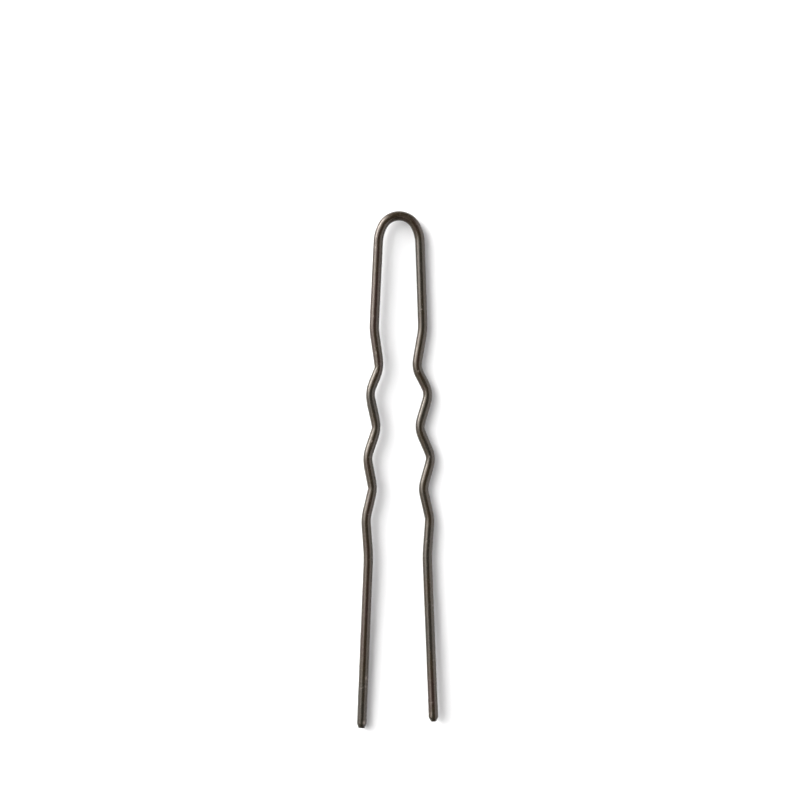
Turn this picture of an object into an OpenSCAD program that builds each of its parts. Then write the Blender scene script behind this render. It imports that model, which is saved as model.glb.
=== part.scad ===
// Long crimped hairpin: one piece of round wire bent into a U.
// It lies as it rests by itself on the XY plane, with the bow towards +Y and the tips towards -Y.
// It is a little twisted, so that it rests on its right leg and on its left tip.
// The origin is under the middle of its box, and all sizes are millimetres.

/* [Size] */
// Length over all, from the crown of the bow to the tip of the left leg
length = 75; // [62:0.5:90]
// How much shorter the right leg is
right_short = 1; // [0:0.1:3]
// Diameter of the wire
wire_d = 1.4; // [1.1:0.02:1.5]
// Distance between the tips, from the middle of one wire to the middle of the other
mouth = 10.46; // [8:0.02:14]

/* [Bow] */
// Radius of the crown, to the middle of the wire
crown_r = 2.7; // [2.4:0.05:2.85]
// Distance between the corners of the shoulders
bow_w = 5.96; // [5.8:0.02:7]
// How far the corners of the shoulders lie below the top of the crown
shoulder_down = 3.4; // [3.2:0.05:4]
// How far the bow sits to the right of the middle of the tips
bow_shift = 0.24; // [-0.5:0.02:0.5]

/* [Twist] */
// How far the left shoulder stands off the surface
shoulder_up = 0.66; // [0:0.02:1]
// How far the left leg stands off the surface where its straight end begins
knee_up = 0.36; // [0:0.02:0.5]
// How far the right tip stands off the surface
tip_up = 0.46; // [0:0.02:0.6]
// How far the top of the crown rises out of the line between the shoulders
crown_rise = 0.16; // [0:0.02:0.4]

/* [Tips] */
// Diameter of the flat end of a tip
tip_d = 0.78; // [0.3:0.02:1]
// Length of the chamfer on a tip
tip_l = 0.6; // [0.3:0.05:1.5]

/* [Hidden] */
// Columns of the table of bends
DOWN = 0;
LEFT = 1;
RIGHT = 2;
RADIUS = 3;
// A row for each bend of the legs, to the middle of the wire: its distance down from the top of
// the crown, how far out the corner is on the left and on the right leg, and the radius
BENDS = [
  [17.16, 3.40, 3.68, 10],
  [22.75, 2.60, 2.71, 3.4],
  [26.35, 4.11, 4.61, 3.4],
  [31.44, 2.98, 3.09, 3.2],
  [35.74, 4.44, 4.93, 3.4],
  [40.23, 3.57, 3.68, 3.5],
  [44.63, 4.61, 4.69, 5.5],
  [50.02, 4.21, 4.30, 18]
];
// How far down the straight ends begin, at the last bend
knee_down = BENDS[7][DOWN];
// How far down the right leg leaves the surface, at its sixth bend
rise_down = BENDS[5][DOWN];
// Radius of the wire
wire_r = wire_d / 2;
// Height of the top of the crown along Y
top = length / 2;
// Angles by which the bow leans over to the right and by which the crown rises
lean = asin(shoulder_up / bow_w);
pitch = asin(crown_rise / crown_r);
// Directions across and along the bow's own plane, and square to it
ACROSS = [cos(lean), 0, -sin(lean)];
ALONG = [sin(pitch) * sin(lean), cos(pitch), sin(pitch) * cos(lean)];
SQUARE = cross(ACROSS, ALONG);
// Middle of the crown's arc
crown_mid = [bow_shift, top - wire_r - crown_r * cos(pitch), wire_r + shoulder_up / 2];
// Shortest straight stretch, where the crown runs into a shoulder
link = 0.12;
// How far a straight stretch reaches into the bends at its ends, and how much thinner it is,
// so that the two overlap inside the bend and no face lies on another
lap = 0.1;
ease = 0.005;
// Facets round the wire and along a bend
$fn = 64;
// Colour of the dark brown lacquer
LACQUER = [0.24, 0.18, 0.14];

// Direction of v
function unit(v) = v / norm(v);

// Angle by which the wire turns at corner b on its way from a to c
function turn(a, b, c) = acos(unit(b - a) * unit(c - b));

// Distance from a corner to where a bend of radius r starts or ends, for a turn of t degrees
function setback(r, t) = r * tan(t / 2);

// Point at distance d from a towards b
function along(a, b, d) = a + unit(b - a) * d;

// Point of the bow's plane, from its place across and along that plane, seen from the crown's middle
function in_bow(q) = crown_mid + q[0] * ACROSS + q[1] * ALONG;

// Place of a shoulder's corner in the bow's plane; side is -1 for the left leg and 1 for the right leg
function shoulder_place(side) = [side * bow_w / 2, wire_r + crown_r - shoulder_down];

// Angle round the crown's middle at which the straight line to the shoulder touches the crown
function crown_end(side) =
  let (s = shoulder_place(side))
  atan2(s[1], s[0]) + side * acos(crown_r / norm(s));

// Direction from the crown's middle at angle a
function crown_ray(a) = cos(a) * ACROSS + sin(a) * ALONG;

// How far a leg stands off the surface, at a distance down from the top of the crown
function up(side, down) = side < 0
  ? lookup(down, [[shoulder_down, shoulder_up], [knee_down, knee_up], [length, 0]])
  : lookup(down, [[rise_down, 0], [length - right_short, tip_up]]);

// Point of a leg's route, from how far down and how far out it is
function leg_point(side, down, out) = [side * out, top - down, wire_r + up(side, down)];

// Corners of a leg's route, from the end of the crown down to the end of the tip
function corners(side) = concat(
  [crown_mid + crown_r * crown_ray(crown_end(side)), in_bow(shoulder_place(side))],
  [for (row = BENDS) leg_point(side, row[DOWN], row[side > 0 ? RIGHT : LEFT])],
  [leg_point(side, length - (side > 0 ? right_short : 0), mouth / 2)]
);

// Radius of the bend at the shoulder, which starts one link below the crown's arc
function shoulder_r(p) = (norm(p[1] - p[0]) - link) / tan(turn(p[0], p[1], p[2]) / 2);

// Radius of the bend at each corner of route p, which is 0 at its two ends
function radii(p) = concat([0, shoulder_r(p)], [for (row = BENDS) row[RADIUS]], [0]);

// Setback of the bend at each corner of route p
function setbacks(p, r) = [
  for (i = [0:len(p) - 1])
    r[i] == 0 ? 0 : setback(r[i], turn(p[i - 1], p[i], p[i + 1]))
];

// Shape laid down at point a, so that its +Z runs towards b
module lay(a, b) {
  d = unit(b - a);
  translate(a)
    rotate([0, acos(d[2]), atan2(d[1], d[0])])
      children();
}

// Straight wire from a to b, which laps into the bend at each end
module straight(a, b) {
  lay(along(a, b, -lap), b)
    cylinder(r = wire_r - ease, h = norm(b - a) + 2 * lap);
}

// Last stretch of a leg, from a to the flat end at b, with its chamfer
module straight_end(a, b) {
  reach = norm(b - a) + lap;
  wall_r = wire_r - ease;
  lay(along(a, b, -lap), b)
    rotate_extrude()
      polygon([[0, 0], [wall_r, 0], [wall_r, reach - tip_l], [tip_d / 2, reach], [0, reach]]);
}

// Piece of ring with its middle at m, that starts in direction out and goes round axis by angle t
module arc(m, r, out, axis, t) {
  ahead = cross(axis, out);
  multmatrix([for (i = [0:2]) [out[i], ahead[i], axis[i], m[i]]])
    rotate_extrude(angle = t)
      translate([r, 0])
        circle(r = wire_r);
}

// Bend of radius r at corner b of the route from a to c
module bend(a, b, c, r) {
  t = turn(a, b, c);
  axis = unit(cross(b - a, c - b));
  out = cross(unit(b - a), axis);
  arc(along(b, a, setback(r, t)) - r * out, r, out, axis, t);
}

// Round top of the bow, from the right shoulder over to the left one
module crown() {
  right_end = crown_end(1);
  left_end = crown_end(-1);
  sweep = left_end + (left_end < 0 ? 360 : 0) - right_end;
  arc(crown_mid, crown_r, crown_ray(right_end), SQUARE, sweep);
}

// One leg with its shoulder, crimps, straight end and tip
module leg(side) {
  p = corners(side);
  r = radii(p);
  back = setbacks(p, r);
  last = len(p) - 1;
  for (i = [0:last - 2])
    straight(along(p[i], p[i + 1], back[i]), along(p[i + 1], p[i], back[i + 1]));
  straight_end(along(p[last - 1], p[last], back[last - 1]), p[last]);
  for (i = [1:last - 1])
    bend(p[i - 1], p[i], p[i + 1], r[i]);
}

module hairpin_wire() {
  color(LACQUER) {
    crown();
    leg(-1);
    leg(1);
  }
}

hairpin_wire();
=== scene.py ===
"""Looks of a long crimped hairpin: one piece of round lacquered wire that lies on white paper."""

import math

import bmesh
import bpy
import numpy as np
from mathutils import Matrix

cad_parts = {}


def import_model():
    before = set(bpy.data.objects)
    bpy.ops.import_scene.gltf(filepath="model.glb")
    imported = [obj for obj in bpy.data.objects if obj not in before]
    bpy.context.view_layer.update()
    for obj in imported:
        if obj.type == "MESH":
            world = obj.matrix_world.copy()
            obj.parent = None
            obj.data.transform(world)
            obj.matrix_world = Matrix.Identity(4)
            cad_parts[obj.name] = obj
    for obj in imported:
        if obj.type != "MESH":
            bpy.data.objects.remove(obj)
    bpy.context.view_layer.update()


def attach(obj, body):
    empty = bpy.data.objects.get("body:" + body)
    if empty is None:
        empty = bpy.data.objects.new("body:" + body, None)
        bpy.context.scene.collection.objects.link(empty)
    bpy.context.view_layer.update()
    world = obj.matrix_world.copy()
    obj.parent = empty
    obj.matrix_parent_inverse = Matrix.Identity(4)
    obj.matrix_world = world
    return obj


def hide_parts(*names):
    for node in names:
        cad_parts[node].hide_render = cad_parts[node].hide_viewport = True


# Metres in a millimetre
MM = 0.001

# The sides of the pin
LEFT_LEG, RIGHT_LEG = -1, 1

# Route of the wire in millimetres, as part.scad has it: the length over all, how much shorter the
# right leg is, the radius of the wire, and the distance between the middles of the tips
LENGTH = 75.0
RIGHT_SHORT = 1.0
WIRE_R = 0.70
MOUTH = 10.46
# Radius of the crown, how far apart the corners of the shoulders are and how far down, and how far
# the bow sits to the right of the middle of the tips
CROWN_R = 2.7
BOW_W = 5.96
SHOULDER_DOWN = 3.4
BOW_SHIFT = 0.24
# Straight stretch between the crown's arc and a shoulder's bend
LINK = 0.12
# How far the left shoulder, the left leg's last bend and the right tip stand off the surface
SHOULDER_UP = 0.66
KNEE_UP = 0.36
TIP_UP = 0.46
# How far the top of the crown rises out of the line of the legs, and the length over which the
# wire bends up at the shoulders
CROWN_RISE = 0.16
SHOULDER_SOFT = 0.6
# Where the top of the crown is along Y, and where the middle of the crown's arc is
TOP = LENGTH / 2
CROWN_MID = np.array([BOW_SHIFT, TOP - WIRE_R - CROWN_R])

# A row for each bend of the legs: how far down it is, how far out on the left and right leg, its
# radius to the middle of the wire, and the radius that the press left on the inside of the bend
DOWN, LEFT, RIGHT, RADIUS, LEFT_INSIDE, RIGHT_INSIDE = range(6)
BENDS = [
    [17.16, 3.40, 3.68, 10, 9.3, 8.0],
    [22.75, 2.60, 2.71, 3.4, 0.8, 2.6],
    [26.35, 4.11, 4.61, 3.4, 2.4, 2.0],
    [31.44, 2.98, 3.09, 3.2, 0.8, 1.7],
    [35.74, 4.44, 4.93, 3.4, 2.3, 1.6],
    [40.23, 3.57, 3.68, 3.5, 0.3, 2.8],
    [44.63, 4.61, 4.69, 5.5, 4.5, 2.0],
    [50.02, 4.21, 4.30, 18, 17.3, 17.3],
]
# How many corners a leg's route has before the first of these bends
CORNERS_BEFORE = 2
# How far down the straight ends begin, and how far down the right leg leaves the surface
KNEE_DOWN = BENDS[7][DOWN]
RISE_DOWN = BENDS[5][DOWN]
# The press made bends of a smaller radius than this fuller on the outside
PRESSED_R = 8
# How much larger than a plain bend it left the radius on the outside, for each leg
OUTSIDE_EXTRA = {LEFT_LEG: 1.7, RIGHT_LEG: 0.4}
# How far the pressed wire stands up at a bend, for each millimetre that it was narrowed
BULGE = 0.15

# Length of the chamfer on a tip, the radius of each leg's flat end, and the radii that round the
# flat end's edge and the chamfer's edge
TIP_L = 0.6
FLAT_R = {LEFT_LEG: 0.46, RIGHT_LEG: 0.39}
FLAT_EDGE_R = 0.05
CHAMFER_EDGE_R = 0.2
# Length of wall that is made together with a tip
TIP_WALL = 1.0

# Nicks, rubbed spots and painted highlights: the leg, how far down from the top of the crown, how
# far from the middle of the wire towards the outside of the pin, the size along and around the
# wire, the depth, and how far the lacquer is made pale, from 0 to 1. Sizes are in millimetres.
NICKS_AND_PAINTED_HIGHLIGHTS = [
    # Painted highlight: a pale patch that brightens the highlight on the crown's upper left
    (LEFT_LEG, 1.7, 0.44, 1.2, 0.16, 0.0, 0.20),
    (LEFT_LEG, 5.3, 0.40, 0.17, 0.11, 0.012, 0.28),
    (LEFT_LEG, 5.1, 0.62, 0.13, 0.14, 0.035, 0.2),
    (LEFT_LEG, 15.3, 0.23, 0.13, 0.09, 0.018, 0.3),
    (LEFT_LEG, 20.5, 0.20, 0.24, 0.08, 0.014, 0.4),
    (LEFT_LEG, 23.3, 0.14, 0.16, 0.10, 0.022, 0.25),
    (LEFT_LEG, 33.4, 0.10, 0.14, 0.09, 0.022, 0.6),
    (LEFT_LEG, 67.7, -0.40, 0.24, 0.14, 0.010, 0.6),
    (LEFT_LEG, 68.9, -0.34, 0.16, 0.10, 0.012, 0.3),
    (LEFT_LEG, 74.15, -0.35, 0.22, 0.17, 0.010, 0.55),
    (RIGHT_LEG, 0.9, -0.15, 0.90, 0.30, 0.0, 0.08),
    (RIGHT_LEG, 14.25, -0.08, 0.09, 0.07, 0.012, 0.5),
    (RIGHT_LEG, 23.2, -0.02, 0.12, 0.14, 0.024, 0.36),
    (RIGHT_LEG, 23.5, 0.12, 0.11, 0.10, 0.024, 0.0),
    (RIGHT_LEG, 35.6, -0.10, 0.12, 0.12, 0.016, 0.28),
    (RIGHT_LEG, 47.85, -0.26, 0.11, 0.08, 0.014, 0.32),
    (RIGHT_LEG, 57.2, 0.60, 0.14, 0.16, 0.030, 0.4),
    # Painted highlight: a pale stretch that brightens the highlight along the right leg near its
    # tip
    (RIGHT_LEG, 70.0, -0.36, 2.40, 0.15, 0.0, 0.06),
    # Painted highlight: a pale streak on the highlight just above the right tip
    (RIGHT_LEG, 72.9, -0.32, 0.35, 0.08, 0.0, 0.3),
]
# Thin grooves across the wire, pressed by the tool that held the tips: the leg, how far down, the
# middle of the groove and its half length around the wire, the depth, and how far it is worn
GROOVES = [
    (LEFT_LEG, 69.1, 0.17, 0.26, 0.022, 0.18),
    (RIGHT_LEG, 71.15, -0.24, 0.24, 0.022, 0.25),
]
GROOVE_HALF_WIDTH = 0.07
# Stretches where the lacquer is browner (above 0) or more olive (below 0): the leg, how far down
# the middle is, how far it reaches to each side, and by how much
TONES = [
    (LEFT_LEG, 13.0, 7.0, 0.22),
    (LEFT_LEG, 28.0, 6.0, -0.12),
    (LEFT_LEG, 60.0, 5.0, 0.16),
    (LEFT_LEG, 72.5, 3.5, -0.22),
    (RIGHT_LEG, 1.5, 2.2, 0.22),
    (RIGHT_LEG, 10.0, 7.0, -0.16),
    (RIGHT_LEG, 35.0, 18.0, -0.08),
    (RIGHT_LEG, 62.0, 2.5, -0.20),
    (RIGHT_LEG, 69.0, 4.5, 0.11),
]

# Distance between the rings of the mesh along the wire and on a tip, and the points of a ring
STEP = 0.1
TIP_STEP = 0.05
SIDES = 56
# Distance in metres below which two points are one
SAME_POINT = 1e-8
# Columns of the tables of the route, which has the first six, and of the rings: the place, the
# heading, the dents on the outer and inner side of the pin, the height off the surface, how far
# along the wire, and the radius
X, Y, HEADING, OUTER_DENT, INNER_DENT, UP, STATION, RING_R = range(8)

# Noise on the straightened wire: the waves a millimetre around and along it, the detail, the
# roughness, and where the pattern starts
PATCHES = (0.9, 0.22, 4, 0.6, (3.1, 7.7, 1.3))
DUST = (5.5, 3.2, 2, 0.5, (8, 1, 4))
STREAKS = (14, 0.5, 3, 0.6, (0, 0, 0))
GRAIN = (3.0, 1.6, 3, 0.6, (5, 2, 9))
# Colours of the lacquer from its olive to its brown patches, with the tone at which each holds,
# and its pale colour where it is worn and where a highlight is painted
OLIVE = (0.0124, 0.0107, 0.0074)
UMBER = (0.0152, 0.0101, 0.0040)
RED_BROWN = (0.0172, 0.0088, 0.0064)
LACQUER_STOPS = [(0.36, OLIVE), (0.5, UMBER), (0.64, RED_BROWN)]
PALE_WEAR_AND_HIGHLIGHT = (0.26, 0.215, 0.19)
# What a range of values is spread to: dust to wear, streaks to roughness, wear and painted
# highlights to more roughness
DUST_TO_WEAR = (0.60, 0.78, 0.0, 0.14)
STREAKS_TO_ROUGHNESS = (0.3, 0.7, 0.22, 0.30)
WEAR_AND_HIGHLIGHT_TO_ROUGHNESS = (0.0, 1.0, 0.0, 0.12)
# How high the grain, the dust and the streaks stand, in millimetres
GRAIN_HEIGHT = 0.014
DUST_HEIGHT = 0.008
STREAK_HEIGHT = 0.002
# Index of refraction of the lacquer, and the tint of its highlights
LACQUER_IOR = 1.53
LACQUER_TINT = (1.0, 0.90, 0.805)
# Numbers of the sockets by which a Mix node takes and gives colours: their names aren't unique
MIX_FIRST, MIX_SECOND, MIX_RESULT = 6, 7, 2

# The paper that the pin lies on, and half the width of the floor in metres
PAPER_COLOUR = (0.9, 0.9, 0.9)
PAPER_ROUGHNESS = 0.9
PAPER_SPECULAR = 0.1
FLOOR_HALF = 4.0

# Soft lights that face the pin: the name, the azimuth from +X and the elevation in degrees, the
# width and height in metres, the radiance, and the colour
LIGHTS = [
    ("softbox_core", 147, 16.5, 0.80, 0.45, 18.6, (1.0, 1.0, 1.0)),
    ("softbox_middle", 150, 28.5, 1.11, 0.96, 5.0, (1.0, 1.0, 1.0)),
    ("softbox_edge", 154, 39, 1.44, 1.32, 2.8, (1.0, 1.0, 1.0)),
    ("left_card", 206, 28, 1.07, 1.03, 0.85, (1.0, 1.0, 1.0)),
    ("right_card", -6, 25, 2.0, 1.07, 2.1, (1.0, 0.98, 0.99)),
]
# How far the lights stand from the origin, in metres
LIGHT_DISTANCE = 1.2
# Greys of the surroundings, for the sine of the elevation above the horizon
WORLD_STOPS = [(0.0, (0.25, 0.25, 0.25)), (0.7, (0.12, 0.12, 0.12))]

# How much of the pin's plane the picture holds, and where its middle is, in millimetres
FRAME_WIDTH = 116.17
FRAME_CENTRE = (0.363, 10.1)
# The camera's sensor and lens in millimetres, and the nearest and farthest that it sees in metres
SENSOR_WIDTH = 36
LENS = 100
CLIP_START = 0.01
CLIP_END = 20


def unit(v):
    return v / np.linalg.norm(v)


def heading(a, b):
    """Angle of the way from a to b."""
    return math.atan2(b[1] - a[1], b[0] - a[0])


def direction(angle):
    return np.array([math.cos(angle), math.sin(angle)])


def turn(a, b, c):
    """Angle by which a route turns at b on its way from a to c, positive to the left."""
    t = heading(b, c) - heading(a, b)
    return (t + math.pi) % (2 * math.pi) - math.pi


def half_turn(p, i):
    """Half of the angle by which route p turns at corner i, whichever way it goes."""
    return abs(turn(p[i - 1], p[i], p[i + 1])) / 2


def shoulder(side):
    """Corner of a shoulder."""
    return np.array([BOW_SHIFT + side * BOW_W / 2, TOP - SHOULDER_DOWN])


def crown_end(side):
    """Angle round the crown's middle at which the line to the shoulder touches the crown."""
    s = shoulder(side) - CROWN_MID
    return math.atan2(s[1], s[0]) + side * math.acos(CROWN_R / np.linalg.norm(s))


def corners(side):
    """Corners of a leg's route, from the end of the crown down to the tip."""
    crown_foot = CROWN_MID + CROWN_R * direction(crown_end(side))
    column = RIGHT if side == RIGHT_LEG else LEFT
    bends = [np.array([side * row[column], TOP - row[DOWN]]) for row in BENDS]
    tip_y = -TOP + (RIGHT_SHORT if side == RIGHT_LEG else 0)
    tip = np.array([side * MOUTH / 2, tip_y])
    return [crown_foot, shoulder(side), *bends, tip]


def radii(p):
    """Radius of the bend at each corner of route p, which is 0 at its two ends."""
    shoulder_r = (np.linalg.norm(p[1] - p[0]) - LINK) / math.tan(half_turn(p, 1))
    return [0, shoulder_r] + [row[RADIUS] for row in BENDS] + [0]


def rounded(p, r, step):
    """Rows along polyline p, whose corners are rounded by radii r: the point, its heading, the
    nearest corner and how far past that corner the point lies."""
    last = len(p) - 1
    half = [0.0] + [half_turn(p, i) for i in range(1, last)] + [0.0]
    back = [r[i] * math.tan(half[i]) for i in range(last + 1)]
    arc = [r[i] * half[i] for i in range(last + 1)]
    rows = []
    for i in range(last):
        way = unit(p[i + 1] - p[i])
        angle = heading(p[i], p[i + 1])
        start = p[i] + way * back[i]
        run = np.linalg.norm(p[i + 1] - p[i]) - back[i] - back[i + 1]
        count = max(2, math.ceil(run / step))
        for k in range(count):
            d = run * k / count
            if d < run / 2 or i + 1 == last:
                rows.append((start + way * d, angle, i, arc[i] + d))
            else:
                rows.append((start + way * d, angle, i + 1, d - run - arc[i + 1]))
        if i + 1 < last:
            t = turn(p[i], p[i + 1], p[i + 2])
            rows += bend(start + way * run, angle, t, r[i + 1], i + 1, step)
    rows.append((p[last], heading(p[last - 1], p[last]), last, 0.0))
    return rows


def bend(begin, angle, t, r, corner, step):
    """Rows along an arc of radius r that starts at begin with a heading and turns by t."""
    sign = 1 if t > 0 else -1
    middle = begin + sign * r * direction(angle + math.pi / 2)
    count = max(2, math.ceil(abs(t) * r / step))
    rows = []
    for k in range(count):
        a = angle + t * k / count
        point = middle - sign * r * direction(a + math.pi / 2)
        rows.append((point, a, corner, r * abs(t) * (k / count - 0.5)))
    return rows


def fillet(u, radius, half):
    """Distance from a corner to its rounding, at distance u along it, for a turn of 2 * half."""
    if abs(u) <= radius * math.sin(half):
        return radius / math.cos(half) - math.sqrt(radius ** 2 - u ** 2)
    return abs(u) * math.tan(half)


def press(side, p, corner, past):
    """How deep the press went into the wire on the inside and on the outside of a leg's bend, at
    a point so far past the bend's corner, or before it."""
    row = corner - CORNERS_BEFORE
    if not 0 <= row < len(BENDS):
        return 0.0, 0.0
    half = half_turn(p, corner)
    radius = BENDS[row][RADIUS]
    inside = BENDS[row][RIGHT_INSIDE if side == RIGHT_LEG else LEFT_INSIDE]
    outside = radius + WIRE_R + (OUTSIDE_EXTRA[side] if radius < PRESSED_R else 0)
    arc = radius * half
    u = radius * math.sin(min(abs(past), arc) / radius)
    u += max(0.0, abs(past) - arc) * math.cos(half)
    dent_in = fillet(u, radius - WIRE_R, half) - fillet(u, inside, half)
    dent_out = fillet(u, outside, half) - fillet(u, radius + WIRE_R, half)
    return dent_in, dent_out


def hollow_outside(side, p, corner):
    """Whether the inside of the bend at a corner is on the outer side of the pin."""
    return 0 < corner < len(p) - 1 and turn(*p[corner - 1:corner + 2]) * side > 0


def bow_up(x):
    """How far the bow, which leans over to the right, stands off the surface."""
    return SHOULDER_UP * (0.5 - (x - BOW_SHIFT) / BOW_W)


def rise(y):
    """How far the bow rises out of the line of the legs, from the shoulders to the crown."""
    past = y - (TOP - SHOULDER_DOWN)
    return CROWN_RISE / CROWN_R * (past + math.hypot(past, SHOULDER_SOFT)) / 2


def leg_up(side, x, down):
    """How far a leg stands off the surface at a distance down from the top of the crown. The bow's
    lean goes over into the slope of the leg where the two meet."""
    if side == LEFT_LEG:
        slope = np.interp(down, [SHOULDER_DOWN, KNEE_DOWN, LENGTH], [SHOULDER_UP, KNEE_UP, 0.0])
        return min(bow_up(x), slope)
    slope = np.interp(down, [RISE_DOWN, LENGTH - RIGHT_SHORT], [0.0, TIP_UP])
    return max(bow_up(x), slope)


def leg(side):
    """Rows of the route of a leg, from the end of the crown down to the tip."""
    p = corners(side)
    rows = []
    for point, angle, corner, past in rounded(p, radii(p), STEP):
        inner, outer = press(side, p, corner, past)
        if hollow_outside(side, p, corner):
            outer, inner = inner, outer
        up = leg_up(side, point[0], TOP - point[1]) + rise(point[1])
        rows.append([*point, angle, outer, inner, up])
    return rows


def crown():
    """Rows of the route over the crown from its left to its right end, without the end points."""
    start = crown_end(LEFT_LEG) % (2 * math.pi)
    sweep = crown_end(RIGHT_LEG) - start
    count = math.ceil(abs(sweep) * CROWN_R / STEP)
    rows = []
    for k in range(1, count):
        a = start + sweep * k / count
        point = CROWN_MID + CROWN_R * direction(a)
        up = bow_up(point[0]) + rise(point[1])
        rows.append([*point, a - math.pi / 2, 0.0, 0.0, up])
    return rows


def wire_route():
    """Rows of the whole route from the left tip over the crown to the right tip, and how far
    along the wire each one is."""
    left = leg(LEFT_LEG)[::-1]
    for row in left:
        row[HEADING] += math.pi
    rows = np.array(left + crown() + leg(RIGHT_LEG))
    rows[:, HEADING] = np.unwrap(rows[:, HEADING])
    steps = np.linalg.norm(np.diff(rows[:, [X, Y]], axis=0), axis=1)
    station = np.concatenate([[0.0], np.cumsum(steps)])
    return rows, station


def tip_rings(side):
    """Distance from the end and radius of each ring of a leg's tip, from its middle outwards."""
    outline = [(0, 0), (0, FLAT_R[side]), (TIP_L, WIRE_R), (TIP_L + TIP_WALL, WIRE_R)]
    p = [np.array(corner) for corner in outline]
    return [row[0] for row in rounded(p, [0, FLAT_EDGE_R, CHAMFER_EDGE_R, 0], TIP_STEP)]


def ring_table():
    """A row for each ring of the wire, from the left tip to the right tip."""
    route, station = wire_route()
    total = station[-1]
    first = tip_rings(LEFT_LEG)
    last = [(total - d, radius) for d, radius in tip_rings(RIGHT_LEG)]
    reach = first[-1][0] + STEP / 2
    wall = [(s, WIRE_R) for s in station if reach < s < total - reach]
    places, radius = np.array(first + wall + last[::-1]).T
    columns = [np.interp(places, station, column) for column in route.T]
    return np.column_stack([*columns, places, radius])


def station_at(table, side, down):
    """How far along the wire a leg is at a distance down from the top of the crown."""
    top_ring = int(np.argmax(table[:, Y]))
    part = table[:top_ring] if side == LEFT_LEG else table[top_ring:][::-1]
    return float(np.interp(TOP - down, part[:, Y], part[:, STATION]))


def spot(table, around, side, down, across, along_size, around_size):
    """Soft spot on the upper side of the wire: 1 in its middle, 0 well outside its sizes."""
    s = (table[:, STATION] - station_at(table, side, down)) / along_size
    t = WIRE_R * (around - math.acos(across / WIRE_R)) / around_size
    return np.exp(-s[:, None] ** 2 - t[None, :] ** 2)


def wear(table, around):
    """Depth of the nicks, how pale wear and painted highlights make the lacquer, and its tone, for
    each vertex.
    """
    depth, pale_wear_and_highlight, tone = np.zeros((3, len(table), len(around)))
    grooves = [(*row[:3], GROOVE_HALF_WIDTH, *row[3:]) for row in GROOVES]
    for *spot_row, deep, wear_and_highlight in NICKS_AND_PAINTED_HIGHLIGHTS + grooves:
        mark = spot(table, around, *spot_row)
        depth += deep * mark
        pale_wear_and_highlight = np.maximum(pale_wear_and_highlight, wear_and_highlight * mark)
    for side, down, reach, amount in TONES:
        s = (table[:, STATION] - station_at(table, side, down)) / reach
        tone += amount * np.exp(-s ** 2)[:, None]
    return depth, pale_wear_and_highlight, tone


def straightened(table, around):
    """Places of the vertices on the wire as if it were straight and unmarked, in millimetres."""
    station = table[:, STATION, None]
    radius = table[:, RING_R, None]
    lateral = radius * np.cos(around)
    height = radius * np.sin(around)
    return np.stack([lateral, height, np.broadcast_to(station, lateral.shape)], -1)


def wire_points(table, around, depth):
    """Places of the vertices in metres, with the nicks and the marks of the press."""
    x, y, angle, outer, inner, up, _, radius = table.T[:, :, None]
    lateral = radius * np.cos(around) * (1 - depth / WIRE_R)
    height = radius * np.sin(around) * (1 - depth / WIRE_R)
    outward = lateral / WIRE_R
    moved = lateral - outer * (1 + outward) / 2 + inner * (1 - outward) / 2
    raised = height * (1 + BULGE * (outer + inner) / WIRE_R)
    height = np.where(height > 0, raised, height)
    places = [x - np.sin(angle) * moved, y + np.cos(angle) * moved, WIRE_R + up + height]
    return np.stack(places, -1).reshape(-1, 3) * MM


def wire_faces(rings):
    """The faces between each ring and the next, as rows of four vertices."""
    first = np.arange(rings - 1)[:, None] * SIDES
    this = np.arange(SIDES)[None, :]
    after = (this + 1) % SIDES
    quads = [first + this, first + after, first + SIDES + after, first + SIDES + this]
    return np.stack(quads, -1).reshape(-1, 4)


def wire_mesh():
    """The whole wire, with what the lacquer has to know at each vertex."""
    table = ring_table()
    around = -math.pi / 2 + 2 * math.pi * np.arange(SIDES) / SIDES
    depth, pale_wear_and_highlight, tone = wear(table, around)
    points = wire_points(table, around, depth)
    faces = wire_faces(len(table))
    mesh = bpy.data.meshes.new("lacquered_wire")
    mesh.from_pydata(points.tolist(), [], faces.tolist())
    keep(mesh, "lay", "FLOAT_VECTOR", "vector", straightened(table, around))
    # Pale wear, and painted highlights on the crown and near the right tip
    keep(mesh, "wear_and_highlight", "FLOAT", "value", pale_wear_and_highlight)
    keep(mesh, "tone", "FLOAT", "value", tone)
    mesh.polygons.foreach_set("use_smooth", [True] * len(mesh.polygons))
    close_ends(mesh)
    return mesh


def keep(mesh, name, kind, field, values):
    """Keeps a value for each vertex under a name that the material reads."""
    made = mesh.attributes.new(name, kind, "POINT")
    made.data.foreach_set(field, np.ascontiguousarray(values, np.float32).reshape(-1))


def close_ends(mesh):
    """Merges the first and last ring, whose radius is 0, into one point each."""
    bm = bmesh.new()
    bm.from_mesh(mesh)
    bmesh.ops.remove_doubles(bm, verts=bm.verts, dist=SAME_POINT)
    bmesh.ops.recalc_face_normals(bm, faces=bm.faces)
    bm.to_mesh(mesh)
    bm.free()


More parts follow.
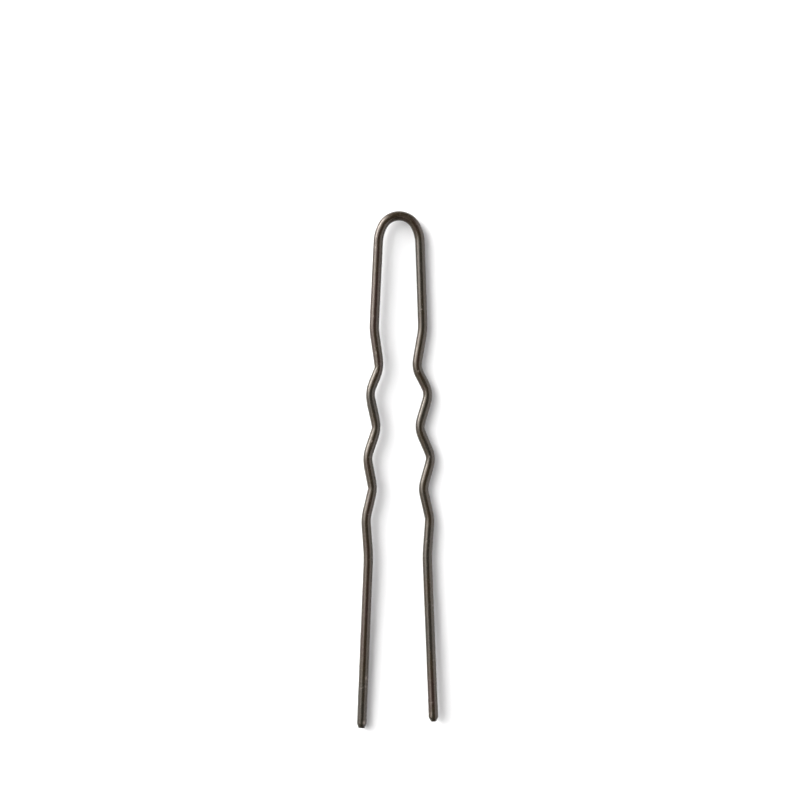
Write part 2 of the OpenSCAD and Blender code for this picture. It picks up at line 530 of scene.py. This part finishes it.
class Graph:
    """The nodes of a material or world, with a short call for each kind that is needed here."""

    def __init__(self, owner):
        owner.use_nodes = True
        self.nodes = owner.node_tree.nodes
        self.links = owner.node_tree.links

    def fill(self, node, sockets):
        """Sets each of these inputs of a node to a value, or links it to another node's output."""
        for name, value in sockets.items():
            if isinstance(value, bpy.types.NodeSocket):
                self.links.new(value, node.inputs[name])
            else:
                node.inputs[name].default_value = value

    def make(self, kind, sockets, **settings):
        """A new node with its settings and its inputs."""
        node = self.nodes.new(kind)
        for name, value in settings.items():
            setattr(node, name, value)
        self.fill(node, sockets)
        return node

    def attribute(self, name, output):
        """What the mesh keeps under a name."""
        return self.make("ShaderNodeAttribute", {}, attribute_name=name).outputs[output]

    def noise(self, around, along, detail, rough, start):
        """Noise on the straightened wire, with so many waves a millimetre each way."""
        mapping = self.make("ShaderNodeMapping", {
            "Vector": self.attribute("lay", "Vector"),
            "Scale": (around, around, along),
            "Location": start,
        })
        node = self.make("ShaderNodeTexNoise", {
            "Vector": mapping.outputs["Vector"],
            "Scale": 1.0,
            "Detail": detail,
            "Roughness": rough,
        })
        return node.outputs["Fac"]

    def add(self, first, second):
        """Sum of two values."""
        node = self.make("ShaderNodeMath", {0: first, 1: second}, operation="ADD")
        return node.outputs["Value"]

    def ramp(self, value, stops):
        """Colours for a value, from rows of position and colour."""
        node = self.make("ShaderNodeValToRGB", {"Fac": value})
        elements = node.color_ramp.elements
        while len(elements) < len(stops):
            elements.new(0.5)
        for element, (position, colour) in zip(elements, stops):
            element.position = position
            element.color = (*colour, 1)
        return node.outputs["Color"]

    def blend(self, amount, first, colour):
        """Mixes an even colour over the first one, by the amount."""
        sockets = {"Factor": amount, MIX_FIRST: first, MIX_SECOND: (*colour, 1)}
        return self.make("ShaderNodeMix", sockets, data_type="RGBA").outputs[MIX_RESULT]

    def spread(self, value, start, end, low, high):
        """Maps the values from start to end to those from low to high."""
        node = self.make("ShaderNodeMapRange", {
            "Value": value,
            "From Min": start,
            "From Max": end,
            "To Min": low,
            "To Max": high,
        })
        return node.outputs["Result"]

    def relief(self, height, millimetres, below=None):
        """Bump of a height in millimetres, on top of another bump where one is given."""
        sockets = {"Height": height, "Strength": 1.0, "Distance": millimetres * MM}
        if below is not None:
            sockets["Normal"] = below
        return self.make("ShaderNodeBump", sockets).outputs["Normal"]


def lacquer():
    """Dark brown lacquer on drawn wire: patches of tone, lengthwise streaks, worn spots and
    painted highlights.
    """
    material = bpy.data.materials.new("brown_lacquer")
    graph = Graph(material)
    tone = graph.add(graph.noise(*PATCHES), graph.attribute("tone", "Fac"))
    dust = graph.noise(*DUST)
    # Pale from wear, dust and painted highlights
    wear_and_highlight = graph.add(graph.attribute("wear_and_highlight", "Fac"), graph.spread(dust, *DUST_TO_WEAR))
    streaks = graph.noise(*STREAKS)
    satin = graph.spread(streaks, *STREAKS_TO_ROUGHNESS)
    pale_roughness = graph.spread(wear_and_highlight, *WEAR_AND_HIGHLIGHT_TO_ROUGHNESS)
    grainy = graph.relief(graph.noise(*GRAIN), GRAIN_HEIGHT)
    dusty = graph.relief(dust, DUST_HEIGHT, grainy)
    streaky = graph.relief(streaks, STREAK_HEIGHT, dusty)
    graph.fill(graph.nodes["Principled BSDF"], {
        "Base Color": graph.blend(wear_and_highlight, graph.ramp(tone, LACQUER_STOPS), PALE_WEAR_AND_HIGHLIGHT),
        "Roughness": graph.add(satin, pale_roughness),
        "Normal": streaky,
        "IOR": LACQUER_IOR,
        "Specular Tint": (*LACQUER_TINT, 1),
    })
    return material


def paper():
    """Plain white paper."""
    material = bpy.data.materials.new("white_paper")
    graph = Graph(material)
    graph.fill(graph.nodes["Principled BSDF"], {
        "Base Color": (*PAPER_COLOUR, 1),
        "Roughness": PAPER_ROUGHNESS,
        "Specular IOR Level": PAPER_SPECULAR,
    })
    return material


def place(name, data):
    """A new object in the scene."""
    made = bpy.data.objects.new(name, data)
    bpy.context.scene.collection.objects.link(made)
    return made


def floor():
    """Flat floor of paper under the pin."""
    mesh = bpy.data.meshes.new("floor")
    s = FLOOR_HALF
    mesh.from_pydata([(-s, -s, 0), (s, -s, 0), (s, s, 0), (-s, s, 0)], [], [(0, 1, 2, 3)])
    mesh.materials.append(paper())
    place("floor", mesh)


def area_light(name, azimuth, elevation, width, height, radiance, colour):
    """One of the soft lights, which faces the pin and doesn't show in the picture."""
    data = bpy.data.lights.new(name, "AREA")
    data.shape = "RECTANGLE"
    data.size = width
    data.size_y = height
    data.energy = radiance * math.pi * width * height
    data.color = colour
    light = place(name, data)
    a = math.radians(azimuth)
    e = math.radians(elevation)
    light.location = (
        LIGHT_DISTANCE * math.cos(e) * math.cos(a),
        LIGHT_DISTANCE * math.cos(e) * math.sin(a),
        LIGHT_DISTANCE * math.sin(e),
    )
    light.rotation_euler = (math.pi / 2 - e, 0, a + math.pi / 2)
    light.visible_camera = False


def world():
    """Grey surroundings that are darker higher up."""
    made = bpy.data.worlds.new("studio")
    graph = Graph(made)
    way = graph.make("ShaderNodeTexCoord", {}).outputs["Generated"]
    height = graph.make("ShaderNodeSeparateXYZ", {"Vector": way}).outputs["Z"]
    graph.fill(graph.nodes["Background"], {"Color": graph.ramp(height, WORLD_STOPS)})
    bpy.context.scene.world = made


def camera():
    """Looks straight down at the pin."""
    data = bpy.data.cameras.new("camera")
    data.sensor_width = SENSOR_WIDTH
    data.lens = LENS
    data.clip_start = CLIP_START
    data.clip_end = CLIP_END
    distance = FRAME_WIDTH * LENS / SENSOR_WIDTH
    made = place("camera", data)
    made.location = (FRAME_CENTRE[0] * MM, FRAME_CENTRE[1] * MM, (distance + WIRE_R) * MM)
    bpy.context.scene.camera = made


def main():
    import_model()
    mesh = wire_mesh()
    mesh.materials.append(lacquer())
    wire = place("wire", mesh)
    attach(wire, "root")
    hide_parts("hairpin_wire")
    floor()
    for row in LIGHTS:
        area_light(*row)
    world()
    camera()
    bpy.context.scene.view_settings.view_transform = "Standard"


main()
